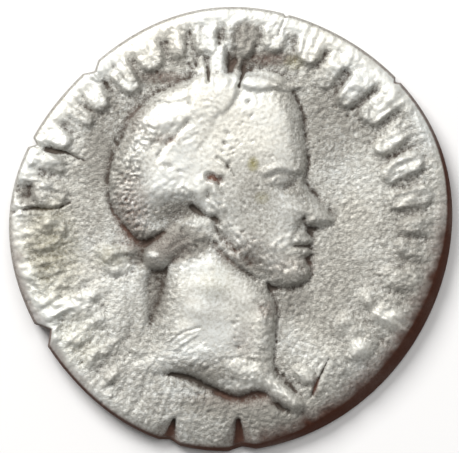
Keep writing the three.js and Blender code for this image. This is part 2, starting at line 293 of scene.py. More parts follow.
def beardRelief(headIn):
    sheet = np.zeros_like(headIn)
    path = curve([(-0.5, 0.9), (-0.3, -0.1), (0.5, -0.95), (1.5, -1.5), (2.5, -1.75), (3.1, -1.7)])
    area = window(path, 1.0)
    cover = clip01(1.25 - nearness(path, np.linspace(0.42, 0.80, len(path)), area))
    sheet[area] = smoothStep(0, 0.7, cover)
    moustache = np.zeros_like(headIn)
    lip = [(front - 1.15, mouth - 0.1), (front - 0.6, mouth + 0.28), (front + 0.1, mouth + 0.36)]
    ridge(moustache, lip, 0.26, 1.0)
    curls = beads(9, portrait["beardBeads"], stretch=1.9, degrees=-60) * clip01(0.7 + 0.35 * grain(10, 0.5))
    return 0.085 * curls * np.maximum(sheet, 0.8 * clip01(1.5 * moustache))


def wreathRelief(sheet):
    # a worn band of leaves across the head
    ridge(sheet, [(-2.75, 1.7), (-2.15, 2.9), (-1.45, 4.0), (-0.9, 5.2)], 0.60, 0.05, shape=0.6)
    band = curve([(-2.7, 1.6), (-2.15, 2.8), (-1.5, 3.9), (-0.95, 4.9)], spans=8)
    for k in range(4):
        x, y = band[3 + 6 * k]
        for spread in (-0.45, 0.40):       # radians to each side of the band
            a = math.radians(60) + spread
            tip = (x + 1.35 * math.cos(a), y + 1.35 * math.sin(a))
            leafShape(sheet, (x, y), tip, 0.62, 0.045, vein=0.15, bend=0.05 * spread)
    ridge(sheet, [(-2.85, 2.75), (-2.2, 3.55), (-1.6, 4.25)], 0.12, -0.10)
    # leaves that point back along the crown
    leafShape(sheet, (-1.65, 4.55), (-3.95, 4.25), 0.80, 0.10, vein=0.15, bend=0.04)
    leafShape(sheet, (-1.3, 5.35), (-3.25, 5.05), 0.62, 0.09, vein=0.15, bend=-0.05)
    dome(sheet, (-2.65, 3.5), 0.95, 0.36, -0.07, turn=38)
    # leaves that stand clear above the forehead
    for start, end, width, height, bend in (
            ((-1.3, 4.5), (-1.12, 6.75), 1.05, 0.25, -0.03),
            ((-0.75, 4.4), (-0.22, 7.35), 1.25, 0.32, 0.04),
            ((-0.3, 4.6), (0.45, 6.75), 0.70, 0.24, 0.0),
            ((0.45, 5.8), (2.25, 5.85), 0.95, 0.27, 0.04),
            ((1.8, 5.62), (2.95, 5.62), 0.42, 0.19, 0.0)):
        leafShape(sheet, start, end, width, height, vein=0.10, bend=bend)


def cutNotches(sheet):   # gaps between the leaves, down to the field
    cut = np.zeros_like(sheet)
    for start, end, half in (
            ((-0.92, 6.9), (-0.83, 5.8), 0.13),
            ((0.22, 7.0), (0.10, 6.2), 0.16),
            ((0.70, 6.5), (0.36, 5.6), 0.10)):
        ridge(cut, [start, end], half, 0.5, taper=(1.2, 0.4), shape=0.8)
    sheet[:] = np.where(cut > 0, np.maximum(sheet - cut, np.minimum(sheet, 0.13)), sheet)


def knotAndTies(sheet):
    knot = np.zeros_like(sheet)
    # one rounded lobe that runs up into the hair
    ridge(knot, [(-1.15, -0.25), (-1.75, -0.55), (-2.4, -0.85), (-2.9, -1.2)], 0.74, 0.42, taper=(1.0, 0.80),
          shape=0.5)
    merge = np.zeros_like(sheet)
    ridge(merge, [(-2.15, -0.40), (-1.6, -0.05), (-1.0, 0.2)], 0.60, 0.40, shape=0.6)
    sheet[:] = softMax(sheet, softMax(knot, merge, 0.10), 0.05)
    ridge(sheet, [(-3.7, -0.66), (-3.2, -0.52), (-2.65, -0.22)], 0.10, -0.15, taper=(1.3, 0.5))    # cleft
    ridge(sheet, [(-3.26, -0.95), (-3.16, -1.14), (-2.92, -1.22)], 0.08, 0.07)
    for k in range(3):
        x, y = -2.75 + 0.42 * k, -0.55 + 0.18 * k
        ridge(sheet, [(x, y), (x + 0.2, y - 0.8)], 0.09, -0.012)
    ridge(sheet, [(-2.0, 0.05), (-1.65, 0.28), (-1.35, 0.22), (-1.25, -0.08), (-1.5, -0.32)], 0.11, 0.055)
    ridge(sheet, [(-1.55, 0.80), (-1.1, 0.50), (-0.56, 0.32)], 0.13, -0.13, taper=(0.7, 1.2))
    # two ribbons hang behind the neck
    ridge(sheet, [(-3.45, -1.75), (-3.65, -2.3), (-3.6, -3.2), (-3.55, -4.3), (-3.65, -4.9)], 0.36, 0.15,
          taper=(0.9, 1.1), shape=0.8)
    ridge(sheet, [(-3.9, -1.0), (-4.35, -0.95), (-4.75, -1.1), (-4.9, -1.5), (-4.6, -1.75)], 0.26, 0.15,
          taper=(0.8, 1.1), shape=0.8)
    return clip01(knot / 0.15)


def faceRelief(sheet):
    eyeX, eyeY = front - 0.95, brow - 0.42
    dome(sheet, (eyeX + 0.15, eyeY - 0.05), 0.75, 0.42, -0.15, turn=-6, shape=1.2)    # socket
    dome(sheet, (eyeX, eyeY), 0.40, 0.20, 0.16, turn=-4, shape=0.8)      # eyeball
    ridge(sheet, [(eyeX - 0.48, eyeY - 0.05), (eyeX, eyeY + 0.22), (eyeX + 0.42, eyeY + 0.08)], 0.10, 0.08)
    ridge(sheet, [(eyeX - 0.40, eyeY - 0.10), (eyeX, eyeY - 0.21), (eyeX + 0.38, eyeY - 0.08)], 0.08, 0.05)
    ridge(sheet, [(eyeX - 0.65, brow - 0.05), (eyeX, brow + 0.14), (eyeX + 0.75, brow + 0.02)], 0.22, 0.10)
    dome(sheet, (front + 0.35, noseBase + 0.24), 0.26, 0.20, 0.14, shape=0.8)      # wing of the nose
    nostril = front + 0.05
    ridge(sheet, [(nostril, noseBase + 0.42), (nostril, noseBase + 0.1), (nostril + 0.3, noseBase - 0.02)],
          0.09, -0.10)
    ridge(sheet, [(front - 0.05, noseBase + 0.35), (front - 0.45, mouth + 0.25)], 0.14, -0.05)
    ridge(sheet, [(front - 0.42, mouth), (front - 0.1, mouth - 0.02), (front + 0.25, mouth + 0.03)], 0.09,
          -0.14)
    ridge(sheet, [(front - 0.35, mouth + 0.17), (front + 0.25, mouth + 0.2)], 0.12, 0.06)
    ridge(sheet, [(front - 0.28, mouth - 0.2), (front + 0.2, mouth - 0.2)], 0.13, 0.06)
    ridge(sheet, [(front - 0.25, mouth - 0.48), (front + 0.12, mouth - 0.5)], 0.12, -0.06)
    # ear: rim, hollow and lobe
    x, y = -0.85, 1.15
    dome(sheet, (x, y), 0.50, 0.85, 0.05, turn=-8, shape=0.6)
    ridge(sheet, [(x + 0.22, y + 0.25), (x + 0.05, y + 0.85), (x - 0.38, y + 0.65), (x - 0.36, y + 0.05),
                  (x - 0.1, y - 0.65)], 0.15, 0.09)
    dome(sheet, (x, y + 0.15), 0.17, 0.30, -0.15, turn=-8)
    dome(sheet, (x + 0.06, y - 0.62), 0.17, 0.20, 0.08, shape=0.8)
    ridge(sheet, [(x - 0.65, y - 0.35), (x - 0.2, y - 0.85), (x + 0.4, y - 0.95)], 0.13, -0.08)


flan = {
    "radius": 8.8,      # mm, the mean
    "dish": 0.08,       # mm that a face curves down towards its edge
    "edgeDrop": 0.30,   # mm that it drops further at the edge itself, where it drops least
    "waves": ((2, 0.20, 50), (3, 0.10, 30), (4, 0.10, 3), (5, 0.04, 28)),     # waves round, mm high, degrees
}
strokeRing = {
    "from": 34, "to": 206,        # degrees of the circle where the strokes run into the rim
    "pitch": (7.5, 11.5),         # degrees between them
    "inner": 6.75,                # mm from the middle to their inner ends
    "widthAt": 7.4,               # mm from the middle, where they have their width
    "height": 0.27,
    "groove": (0.07, 0.20),       # mm, half the width of the grooves between them
    "grooveDepth": 0.30,
    "rimFrom": 8.05,              # mm from the middle, where they have run together
    # those that stand alone: degrees, inner and outer end, half width, height, softness
    "apart": (
        (27.5, 6.7, 7.9, 0.52, 0.25, 0.5), (18, 6.6, 7.8, 0.56, 0.26, 0.45),
        (8.5, 6.6, 7.85, 0.54, 0.25, 0.45), (0, 6.9, 7.9, 0.48, 0.20, 0.6),
        (-7, 6.8, 8.0, 0.64, 0.22, 0.9), (-17, 6.5, 7.9, 0.80, 0.24, 0.95),
        (-28, 6.1, 7.5, 1.05, 0.26, 0.95), (-40, 5.9, 7.1, 1.05, 0.23, 0.95),
        (-51, 6.2, 7.2, 0.60, 0.12, 0.95), (198, 6.0, 7.8, 0.62, 0.20, 0.95),
        (207, 6.0, 8.1, 0.66, 0.21, 0.95), (216, 6.2, 8.2, 0.62, 0.20, 0.95),
        (225, 6.5, 8.1, 0.56, 0.17, 0.95), (233, 6.9, 8.0, 0.46, 0.12, 0.95),
    ),
}


def outlineRadius(degrees):
    radius = flan["radius"]
    for count, high, crest in flan["waves"]:
        radius = radius + high * np.cos(count * np.radians(degrees - crest))
    return radius


def polar(radius, degrees):
    a = math.radians(degrees)
    return radius * math.cos(a), radius * math.sin(a)


def polarGrain(seed, around, outward):   # streaks that run outwards: mm across and along them
    rng = np.random.default_rng(seed)
    columns = int(2 * math.pi * 7.5 / around)
    rows = int(9.5 / outward) + 3
    table = rng.standard_normal((rows, columns)).astype(np.float32)
    u = sheetAngle / 360 * columns
    v = sheetR / outward
    u0 = np.floor(u).astype(int)
    v0 = np.minimum(np.floor(v).astype(int), rows - 2)
    fu, fv = smoothStep(0, 1, u - u0), smoothStep(0, 1, v - v0)
    low = table[v0, u0 % columns] * (1 - fu) + table[v0, (u0 + 1) % columns] * fu
    high = table[v0 + 1, u0 % columns] * (1 - fu) + table[v0 + 1, (u0 + 1) % columns] * fu
    return low * (1 - fv) + high * fv


def bar(sheet, points, radius, height, taper, soft):   # a flat-topped stroke
    line = np.array(points, dtype=np.float32)
    along = np.linspace(0, 1, len(line))
    radii = radius * (taper[0] + (taper[1] - taper[0]) * along)
    area = window(line, radius * max(taper) * 1.05)
    q = nearness(line, radii, area)
    np.maximum(sheet[area], height * (1 - smoothStep(1 - soft, 1, q)), out=sheet[area])


def ringRelief():
    rng = np.random.default_rng(24)
    edge = outlineRadius(sheetAngle)
    # from the right over the top to the left the strokes run out into a broad rim
    upper = turnsNear(sheetAngle, 116, 92)
    sheet = np.zeros_like(sheetX)
    grooves = np.zeros_like(sheetX)
    angle = strokeRing["from"]
    while angle < strokeRing["to"]:
        # blunt strokes, worn together at their sides
        left = float(smoothStep(150, 180, angle))
        pitch = rng.uniform(*strokeRing["pitch"]) * (1 + 0.5 * left)
        height = strokeRing["height"] * rng.uniform(0.85, 1.05) * (1 - 0.30 * left)
        middle = angle + pitch / 2
        half = math.radians(pitch) * strokeRing["widthAt"] * (rng.uniform(0.50, 0.60) + 0.14 * left)
        inner = strokeRing["inner"] + rng.uniform(-0.35, 0.40) - rng.uniform(0.2, 0.9) * left
        tip = polar(inner + half * 0.9, middle + rng.uniform(-1, 1))
        taper = (rng.uniform(0.80, 1.0), 1.05)
        bar(sheet, [tip, polar(flan["radius"], middle)], half, height, taper, soft=0.35)
        # a groove at its side, and a shorter, shallower one along it
        wide = rng.uniform(*strokeRing["groove"]) * (1 - 0.45 * left)
        if rng.uniform() < 0.28:
            wide *= 2.0
        end = rng.uniform(7.7, 8.35)
        lean = rng.uniform(-1.2, 1.2)
        deep = strokeRing["grooveDepth"] * (1 - left * rng.uniform(0.4, 0.95))
        if rng.uniform() < 0.3:
            deep *= 0.35
        ridge(grooves, [polar(inner - 0.2, angle), polar(end, angle + lean)], wide, deep,
              taper=(rng.uniform(0.8, 1.6), rng.uniform(0.5, 1.3)))
        at = angle + pitch * rng.uniform(0.3, 0.7)
        start = inner + rng.uniform(-0.2, 0.7)
        ridge(grooves, [polar(start, at), polar(start + rng.uniform(0.5, 1.0), at + rng.uniform(-2, 2))],
              rng.uniform(0.06, 0.12), rng.uniform(0.02, 0.06), taper=(1.2, 0.6))
        angle += pitch
    sheet = np.maximum(sheet - np.minimum(grooves, 0.26), np.minimum(sheet, 0.02))
    rimFrom = strokeRing["rimFrom"] + 0.14 * np.sin(np.radians(sheetAngle * 5 + 20)) + 0.10 * grain(32, 1.2)
    sheet = np.maximum(sheet, strokeRing["height"] * upper * smoothStep(0, 0.35, sheetR - rimFrom))
    # separate blunt strokes down the right and the lower left
    blobs = np.zeros_like(sheet)
    for angle, inner, outer, half, height, soft in strokeRing["apart"]:
        lean = rng.uniform(-2.5, 2.5)
        bar(blobs, [polar(inner + half * 0.4, angle), polar(outer, angle + lean)], half, height,
            (0.85, 1.1), soft)
        for side in (-1, 1):
            at = angle + side * rng.uniform(0.5, 2.0)
            start = inner + rng.uniform(-0.1, 0.5)
            ridge(blobs, [polar(start, at), polar(start + rng.uniform(0.4, 0.9), at + lean)], 0.13,
                  -rng.uniform(0.01, 0.05), taper=(1.2, 0.6))
    blobs = blobs * (1 + 0.16 * grain(33, 0.5) * smoothStep(0, 0.1, blobs))
    sheet = blur(softMax(sheet, blobs, 0.03), 0.035)
    lumpy = 0.13 + 0.22 * turnsNear(sheetAngle, 200, 55)
    sheet = sheet * np.maximum(0.92 + lumpy * grain(31, 0.7) + 0.5 * lumpy * grain(34, 0.3), 0.3)
    rim = smoothStep(0, 0.8, sheetR - (edge - 1.1))
    right = turnsNear(sheetAngle, 12, 70)
    lowerLeft = turnsNear(sheetAngle, 205, 50)
    rimHeight = strokeRing["height"] * upper + (1 - upper) * (0.16 * right + 0.17 * lowerLeft) + 0.05
    return softMax(sheet, rim * rimHeight, 0.05)


def flanFall():   # how far the face drops below the field towards the edge
    inFromEdge = outlineRadius(sheetAngle) - sheetR
    lower = turnsNear(sheetAngle, 310, 80)
    upper = turnsNear(sheetAngle, 125, 90)
    reach = 0.75 + 0.6 * lower + 0.75 * upper
    t = clip01(1 - inFromEdge / reach)
    dish = flan["dish"] * (sheetR / flan["radius"]) ** 2
    return dish + (flan["edgeDrop"] + 0.15 * lower + 0.08 * upper) * t ** (1.9 - 0.5 * upper)


damage = {
    "scratches": 22,      # fine ones, spread over the face by a seed
    "seed": 77,
    # pits in the worn hair, beside the ear and on the bust: place, half length, half width and depth in mm
    "pits": (
        (-2.5, 2.42, 0.30, 0.13, 0.07), (-2.0, 2.2, 0.14, 0.10, 0.05), (-0.76, 1.98, 0.32, 0.22, 0.15),
        (-0.36, 1.86, 0.17, 0.24, 0.12), (-0.2, 3.35, 0.14, 0.11, 0.07), (0.1, 3.1, 0.12, 0.09, 0.07),
        (-0.1, 3.75, 0.16, 0.09, 0.06), (0.3, 3.4, 0.10, 0.08, 0.05), (-0.3, 3.0, 0.10, 0.09, 0.05),
        (0.75, 5.0, 0.15, 0.12, 0.07), (-0.05, 2.45, 0.11, 0.26, 0.08), (-1.6, 4.9, 0.12, 0.08, 0.04),
        (0.15, -3.9, 0.12, 0.08, 0.05), (0.25, -4.2, 0.09, 0.07, 0.04), (0.35, -4.85, 0.18, 0.09, 0.06),
        (0.75, -4.95, 0.13, 0.08, 0.05), (0.95, -3.95, 0.07, 0.09, 0.05), (-0.6, -5.5, 0.14, 0.08, 0.04),
    ),
}


def cutsAndDamage(sheet):
    # cracks in from the edge
    ridge(sheet, [(-7.9, 3.35), (-7.1, 3.02), (-6.6, 2.98), (-5.85, 2.65)], 0.10, -0.12, taper=(1.5, 0.5))
    ridge(sheet, [(-8.8, 0.55), (-7.9, 0.74), (-7.1, 0.70), (-6.4, 0.95)], 0.10, -0.09, taper=(1.2, 0.5))
    dome(sheet, (-8.25, 1.35), 0.75, 0.55, -0.20, turn=-25, shape=1.2)       # a flaw in the edge
    flatten(sheet, (0.64, 7.72), 0.68, 0.64, 0.15, soft=0.55)       # a round dent in the rim
    # splits at the bottom, each with a soft side and a sharp one
    for angle, inner, deep in ((254.0, 8.1, 0.20), (272.6, 7.8, 0.22)):
        end = polar(inner, angle)
        ridge(sheet, [polar(9.2, angle - 1.6), end], 0.75, -deep, taper=(1.1, 0.2), shape=1.5)
        ridge(sheet, [polar(9.2, angle + 0.6), end], 0.44, -1.25 * deep, taper=(1.2, 0.15), shape=0.9)
    ridge(sheet, [(2.2, 8.3), (1.95, 7.7)], 0.06, -0.08)
    # worn lumps in the field behind the neck
    dome(sheet, (-4.75, -1.15), 0.75, 0.40, 0.13, turn=-28, shape=0.7)
    dome(sheet, (-4.35, -1.75), 0.50, 0.20, 0.08, turn=20, shape=0.7)
    dome(sheet, (-4.35, -3.25), 1.50, 0.55, 0.10, turn=82, shape=0.7)
    dome(sheet, (-5.4, -2.6), 1.0, 0.35, 0.06, turn=25, shape=0.7)
    # a knife cut, with the metal it pushed up
    dome(sheet, (3.0, -5.95), 0.55, 0.36, 0.21, turn=-35, shape=0.6)
    ridge(sheet, [(3.30, -6.85), (3.58, -6.15), (4.0, -5.3)], 0.055, -0.11, taper=(1.5, 0.6), shape=0.8)
    ridge(sheet, [(3.55, -6.7), (3.85, -6.0), (4.2, -5.4)], 0.17, 0.05)
    # a deep gutter under the middle of the bust
    gutter = [(-2.3, -5.92), (-1.6, -6.12), (-0.6, -6.62), (0.3, -6.92), (1.35, -6.70)]
    ridge(sheet, gutter, 0.46, -0.13, taper=(0.35, 1.0), shape=2.2)
    # a groove in the hair, and cracks that run from the pit beside the ear
    ridge(sheet, [(-2.9, 2.85), (-2.35, 3.55), (-1.65, 4.15)], 0.20, -0.045, taper=(0.4, 1.2), shape=1.8)
    ridge(sheet, [(-0.5, 2.75), (-0.15, 2.5), (0.2, 2.0)], 0.08, -0.06, taper=(1.3, 0.5))
    ridge(sheet, [(-0.55, 1.85), (-0.35, 1.5), (-0.2, 1.1)], 0.08, -0.06, taper=(1.3, 0.5))
    # cracks and scratches on the bust
    ridge(sheet, [(1.0, -3.0), (1.3, -3.28), (1.42, -3.6)], 0.06, -0.05, taper=(1.3, 0.6))
    ridge(sheet, [(1.25, -3.22), (1.55, -3.3), (1.8, -3.55)], 0.06, -0.06, taper=(0.7, 1.3))
    ridge(sheet, [(-0.1, -5.3), (0.5, -5.25), (1.1, -5.45)], 0.09, -0.03, taper=(0.7, 1.2))
    ridge(sheet, [(-2.35, -4.65), (-1.9, -4.28), (-1.2, -4.05)], 0.07, -0.045, taper=(0.7, 1.0), spans=6)
    ridge(sheet, [(-2.1, -4.85), (-1.75, -4.6), (-1.3, -4.35)], 0.10, 0.035, taper=(1.2, 0.6), spans=6)
    rng = np.random.default_rng(damage["seed"])
    for _ in range(damage["scratches"]):
        x, y = rng.uniform(-7.5, 7.5, 2)
        a = rng.uniform(0, math.pi)
        half = rng.uniform(0.3, 1.1)
        dx, dy = half * math.cos(a), half * math.sin(a)
        ridge(sheet, [(x - dx, y - dy), (x + dx, y + dy)], 0.035, -rng.uniform(0.004, 0.012), taper=(1, 0.5))
    for x, y, long, wide, deep in damage["pits"]:
        dome(sheet, (x, y), long, wide, -deep, turn=-20)


def obverseSheet():
    form, headIn, neckIn = portraitForm()
    inside = clip01(np.maximum(headIn, neckIn) / 0.10)
    face = np.zeros_like(form)
    faceRelief(face)
    wreath = np.zeros_like(form)
    wreathRelief(wreath)
    sheet = form + face * inside
    sheet = np.maximum(sheet, 0) + wreath
    knotted = knotAndTies(sheet)
    # wear cuts the high places flat and leaves their detail faint
    sheet = softMin(sheet, portrait["wear"] + 0.03 * grain(5, 2.2), 0.12)
    sheet = softMax(sheet, ringRelief(), 0.03)
    cutNotches(sheet)
    # a gutter round the head, and a deeper one under the cut of the bust
    around = np.exp(-((headIn + 0.10) / 0.10) ** 2) * (neckIn < 0.05)
    around = around * smoothStep(6.5, 3.0, sheetY - 0.4 * sheetX) * (1 - knotted)
    under = np.exp(-((neckIn + 0.11) / 0.12) ** 2) * (headIn < 0)
    low = smoothStep(-5.4, -6.3, sheetY)
    deepest = 1.9 * np.exp(-((sheetX + 0.1) / 1.2) ** 2) + 1.6 * np.exp(-((sheetX - 2.3) / 0.8) ** 2)
    around = around + (0.45 + deepest * low) * under
    sheet = blur(sheet, 0.05) - portrait["gutter"] * around * clip01(0.55 + 0.5 * grain(15, 0.7))
    sheet = sheet + (hairRelief(headIn) + beardRelief(headIn)) * inside
    onFace = smoothStep(-0.5, 1.0, sheetX) * clip01(headIn / 0.3)
    pitted = smoothStep(1.1, 2.4, grain(16, 0.17)) * smoothStep(0.2, 1.5, grain(17, 1.4) + 0.9 * onFace)
    sheet = sheet - 0.045 * pitted
    cutsAndDamage(sheet)
    return sheet, headIn, neckIn


soilsAndPaintedLight = {   # place, half length and half width in mm, and strength; below 0 it is lighter there. Dirt and stains, with some painted shadows and a painted highlight
    # dirt, with painted shadows beside the ribbon behind the neck and under the cut of the bust, and a
    # painted highlight at the end of the knot
    "grimeAndPaintedLight": (
        (1.6, 6.75, 1.3, 0.40, 1.1), (0.3, 6.6, 0.6, 0.45, 1.0), (-3.2, 6.0, 1.4, 0.35, 0.8),
        (-3.6, 4.7, 1.1, 0.7, 0.35), (-2.0, -0.7, 1.4, 0.85, 2.2), (-2.3, 0.75, 1.8, 0.9, 0.8),
        (-3.4, -0.9, 0.8, 1.0, 1.1), (-2.9, -2.7, 0.5, 1.6, 1.1), (-0.7, -7.2, 3.2, 0.6, 0.4),
        (0.9, -1.3, 1.8, 0.8, 0.8), (-0.9, -5.9, 1.8, 0.9, 0.7), (4.3, 4.2, 1.6, 2.2, 0.5),
        (-5.4, -2.7, 1.7, 2.3, -0.4), (2.8, -5.0, 1.6, 1.4, -0.5), (-3.2, -5.2, 1.2, 0.8, -0.4),
        (-5.3, 2.6, 0.8, 1.6, 0.4), (-3.1, -1.1, 0.35, 0.2, -1.8), (0.2, -7.1, 2.6, 0.5, 0.5),
        (-5.0, 4.2, 0.9, 1.8, 0.5), (2.6, -3.0, 0.9, 0.9, 0.5), (0.6, 7.6, 0.7, 0.8, 1.5),
        (-2.6, 3.5, 0.9, 0.4, 0.6), (1.2, -7.6, 2.4, 0.7, 0.5), (2.4, -5.2, 0.8, 1.4, 0.4),
        (0.3, 6.75, 0.9, 0.5, 0.6), (1.2, 1.0, 2.2, 2.4, 0.95), (-0.4, -2.9, 1.7, 1.7, 0.5),
        (-3.6, 2.9, 1.0, 2.0, 0.4), (7.3, -0.5, 0.9, 4.0, 0.4), (-8.2, 1.3, 0.8, 0.7, 0.8),
        (-3.9, 1.4, 1.0, 2.2, 0.5), (5.3, 1.4, 1.2, 2.8, -0.35), (-6.6, -4.6, 1.4, 1.9, -0.4),
    ),
    # reddish stains, and the strip at (0.4, -6.9) is a painted shadow along the cut of the bust
    "rustAndShade": (
        (1.7, 6.75, 1.1, 0.30, 0.45), (0.3, 6.5, 0.5, 0.35, 0.15), (-0.65, 1.93, 0.42, 0.28, 0.9),
        (-2.7, 6.0, 1.0, 0.30, 0.35), (-2.6, 3.5, 0.7, 0.25, 0.4), (1.45, -3.35, 0.5, 0.5, 0.5),
        (-4.0, 0.6, 0.8, 1.8, 0.25), (3.45, -6.4, 0.2, 0.5, 0.8),
        (2.4, -1.6, 1.2, 0.6, 0.3), (-3.7, 4.2, 0.6, 0.8, 0.2), (-2.5, -8.45, 0.6, 0.7, 0.6),
        (0.4, -8.5, 0.5, 0.9, 0.7), (0.5, -4.5, 0.6, 0.9, 0.25), (-3.9, 0.6, 0.9, 1.9, 0.3),
        (0.6, -0.9, 1.4, 0.9, 0.25), (0.4, -6.9, 2.2, 0.5, 0.35), (-2.5, -0.8, 1.2, 0.8, 0.2),
    ),
    "olive": (
        (0.95, 2.5, 0.28, 0.36, 1.0), (1.3, 1.15, 0.35, 0.3, 0.4), (2.6, 6.6, 0.5, 0.4, 0.4),
        (-7.2, -1.2, 1.5, 2.6, 0.30), (-4.8, -1.2, 0.9, 0.6, 0.25), (-0.6, -2.2, 0.9, 0.9, 0.2),
        (-6.2, -4.6, 1.3, 1.4, 0.2),
    ),
}


def soilAndPaintedLightSheet(name):
    sheet = np.zeros_like(sheetX)
    for x, y, long, wide, strength in soilsAndPaintedLight[name]:
        dome(sheet, (x, y), long, wide, strength)
    return sheet


def reverseSheet():   # a draped figure with a bowl and a staff, seen with the reverse towards you
    sheet = np.zeros_like(sheetX)
    body = insideDistance(curve([
        (-1.45, -5.0), (-1.25, -3.2), (-1.0, -1.2), (-0.85, 0.4), (-0.95, 1.6), (-0.85, 2.5),
        (-0.3, 2.85), (0.35, 2.85), (0.9, 2.5), (1.0, 1.6), (0.8, 0.4), (1.0, -1.2), (1.3, -3.2),
        (1.6, -5.0), (0.1, -5.15),
    ], closed=True, spans=4))
    sheet = np.maximum(sheet, pillow(body, 0.8, 0.13))
    for k in range(7):       # folds from the hips to the hem
        x = -1.15 + 0.38 * k
        ridge(sheet, [(x * 0.5, 0.6), (x * 0.75, -1.6), (x, -4.9)], 0.17, 0.06, shape=0.8)
        ridge(sheet, [(x * 0.5 + 0.12, 0.4), (x * 0.75 + 0.15, -1.6), (x + 0.19, -4.9)], 0.11, -0.07)
    for k in range(3):       # the mantle across the body
        drape = [(-0.9, 1.9 - 0.45 * k), (0.0, 0.9 - 0.4 * k), (1.0, 0.9 - 0.5 * k)]
        ridge(sheet, drape, 0.16, 0.05, shape=0.8)
    dome(sheet, (0.05, 3.65), 0.55, 0.68, 0.14, shape=0.6)
    ridge(sheet, [(0.1, 3.2), (0.1, 2.7)], 0.26, 0.09)
    ridge(sheet, [(-0.75, 2.1), (-1.7, 1.35), (-2.9, 1.15)], 0.27, 0.12, taper=(1.0, 0.7), shape=0.7)
    dome(sheet, (-3.15, 1.15), 0.58, 0.32, 0.13, shape=0.5)
    ridge(sheet, [(0.8, 2.2), (1.7, 2.0), (2.5, 2.5)], 0.27, 0.12, taper=(1.0, 0.7), shape=0.7)
    ridge(sheet, [(2.6, -5.1), (2.6, 4.7)], 0.13, 0.12, shape=0.6)
    dome(sheet, (2.6, 4.85), 0.22, 0.22, 0.12, shape=0.6)
    ridge(sheet, [(-3.5, -5.4), (3.5, -5.4)], 0.14, 0.11, shape=0.6)
    rng = np.random.default_rng(51)
    angle = -50.0
    while angle < 232:
        inner = 6.1 + rng.uniform(-0.1, 0.25)
        outer = 7.45 + rng.uniform(-0.15, 0.1)
        ridge(sheet, [polar(inner, angle), polar(outer, angle)], rng.uniform(0.27, 0.38), 0.13, shape=0.5)
        angle += rng.uniform(7.5, 9.5)
    sheet = softMin(sheet, 0.15 + 0.02 * grain(52, 1.5), 0.03)
    sheet = sheet + 0.007 * grain(53, 0.22) + 0.012 * grain(54, 1.2)
    sheet = sheet - 0.03 * smoothStep(1.3, 2.4, grain(55, 0.25))
    edge = outlineRadius((180 - sheetAngle) % 360)
    sheet = np.maximum(sheet, 0.19 * smoothStep(0, 0.6, sheetR - edge + 1.15))
    return blur(sheet, 0.03)


blank = {
    "cuts": 77,            # lattice rings across each face, less one; the obverse has twice as many
    "sideCuts": 3,
    "obverseField": 1.2,   # mm above the table
    "reverseField": 0.2,
    "edgeBulge": 0.16,
    "edgeTurn": 75,        # degrees that the edge turns through, up and down from its middle
    "sideSlope": 0.50,     # mm that the reverse stands out past the obverse
    "slopeAt": 322,        # degrees
    "splits": (            # in the edge: degrees, then depth and half width in mm
        (41, 0.14, 0.14), (75, 0.08, 0.12), (131, 0.24, 0.40), (157, 0.26, 0.20), (210, 0.42, 0.50),
        (254.5, 0.14, 0.42), (273.3, 0.16, 0.52),
    ),
}


def blankMesh():
    bpy.ops.object.select_all(action="DESELECT")
    bpy.ops.mesh.primitive_circle_add(vertices=6, radius=1, fill_type="TRIFAN", location=(0, 0, 0))
    coin = bpy.context.object
    coin.name = coin.data.name = "struckCoin"
    bpy.ops.object.mode_set(mode="EDIT")
    bpy.ops.mesh.select_mode(type="FACE")
    bpy.ops.mesh.select_all(action="SELECT")
    bpy.ops.mesh.subdivide(number_cuts=blank["cuts"])
    bpy.ops.mesh.extrude_region_move(TRANSFORM_OT_translate={"value": (0, 0, 1)})
    # three cuts round the edge
    bpy.ops.mesh.select_mode(type="EDGE")
    bpy.ops.mesh.select_all(action="DESELECT")
    shape = bmesh.from_edit_mesh(coin.data)
    for edge in shape.edges:
        first, second = edge.verts
        edge.select_set(abs(first.co.z - second.co.z) > 0.5)
    bmesh.update_edit_mesh(coin.data)
    bpy.ops.mesh.subdivide(number_cuts=blank["sideCuts"])
    # the obverse and the edge get twice the lattice
    bpy.ops.mesh.select_mode(type="FACE")
    bpy.ops.mesh.select_all(action="DESELECT")
    shape = bmesh.from_edit_mesh(coin.data)
    for face in shape.faces:
        face.select_set(face.calc_center_median().z > 0.01)
    bmesh.update_edit_mesh(coin.data)
    bpy.ops.mesh.subdivide(number_cuts=1)
    bpy.ops.mesh.select_all(action="SELECT")
    bpy.ops.mesh.normals_make_consistent(inside=False)
    bpy.ops.mesh.quads_convert_to_tris()
    bpy.ops.object.mode_set(mode="OBJECT")
    return coin


def latticeToRound(x, y, corner):   # a hexagon's rings become circles: share of the radius, and degrees
    angle = (np.degrees(np.arctan2(y, x)) - corner) % 360
    sector = np.minimum(np.floor(angle / 60), 5)
    middle = np.radians(corner + 60 * sector + 30)
    outward = x * np.cos(middle) + y * np.sin(middle)
    sideways = y * np.cos(middle) - x * np.sin(middle)
    share = outward / math.cos(math.radians(30))
    along = np.where(share > 1e-6, sideways / np.maximum(share, 1e-6), 0)
    return share, corner + 60 * (sector + 0.5 + along)


def sampled(sheet, x, y):
    u = (x + dieSheet["half"]) / dieSheet["step"]
    v = (y + dieSheet["half"]) / dieSheet["step"]
    u0 = np.clip(np.floor(u).astype(int), 0, sheet.shape[1] - 2)
    v0 = np.clip(np.floor(v).astype(int), 0, sheet.shape[0] - 2)
    fu, fv = u - u0, v - v0
    low = sheet[v0, u0] * (1 - fu) + sheet[v0, u0 + 1] * fu
    high = sheet[v0 + 1, u0] * (1 - fu) + sheet[v0 + 1, u0 + 1] * fu
    return low * (1 - fv) + high * fv


def splitDepth(degrees):
    depth = np.zeros_like(degrees)
    for at, deep, half in blank["splits"]:
        away = np.abs((degrees - at + 180) % 360 - 180) * math.pi / 180 * flan["radius"]
        depth = np.maximum(depth, deep * clip01(1 - away / half) ** 0.8)
    return depth


def slopeOut(degrees):
    return blank["sideSlope"] * np.clip(np.cos(np.radians(degrees - blank["slopeAt"])), 0, 1) ** 3


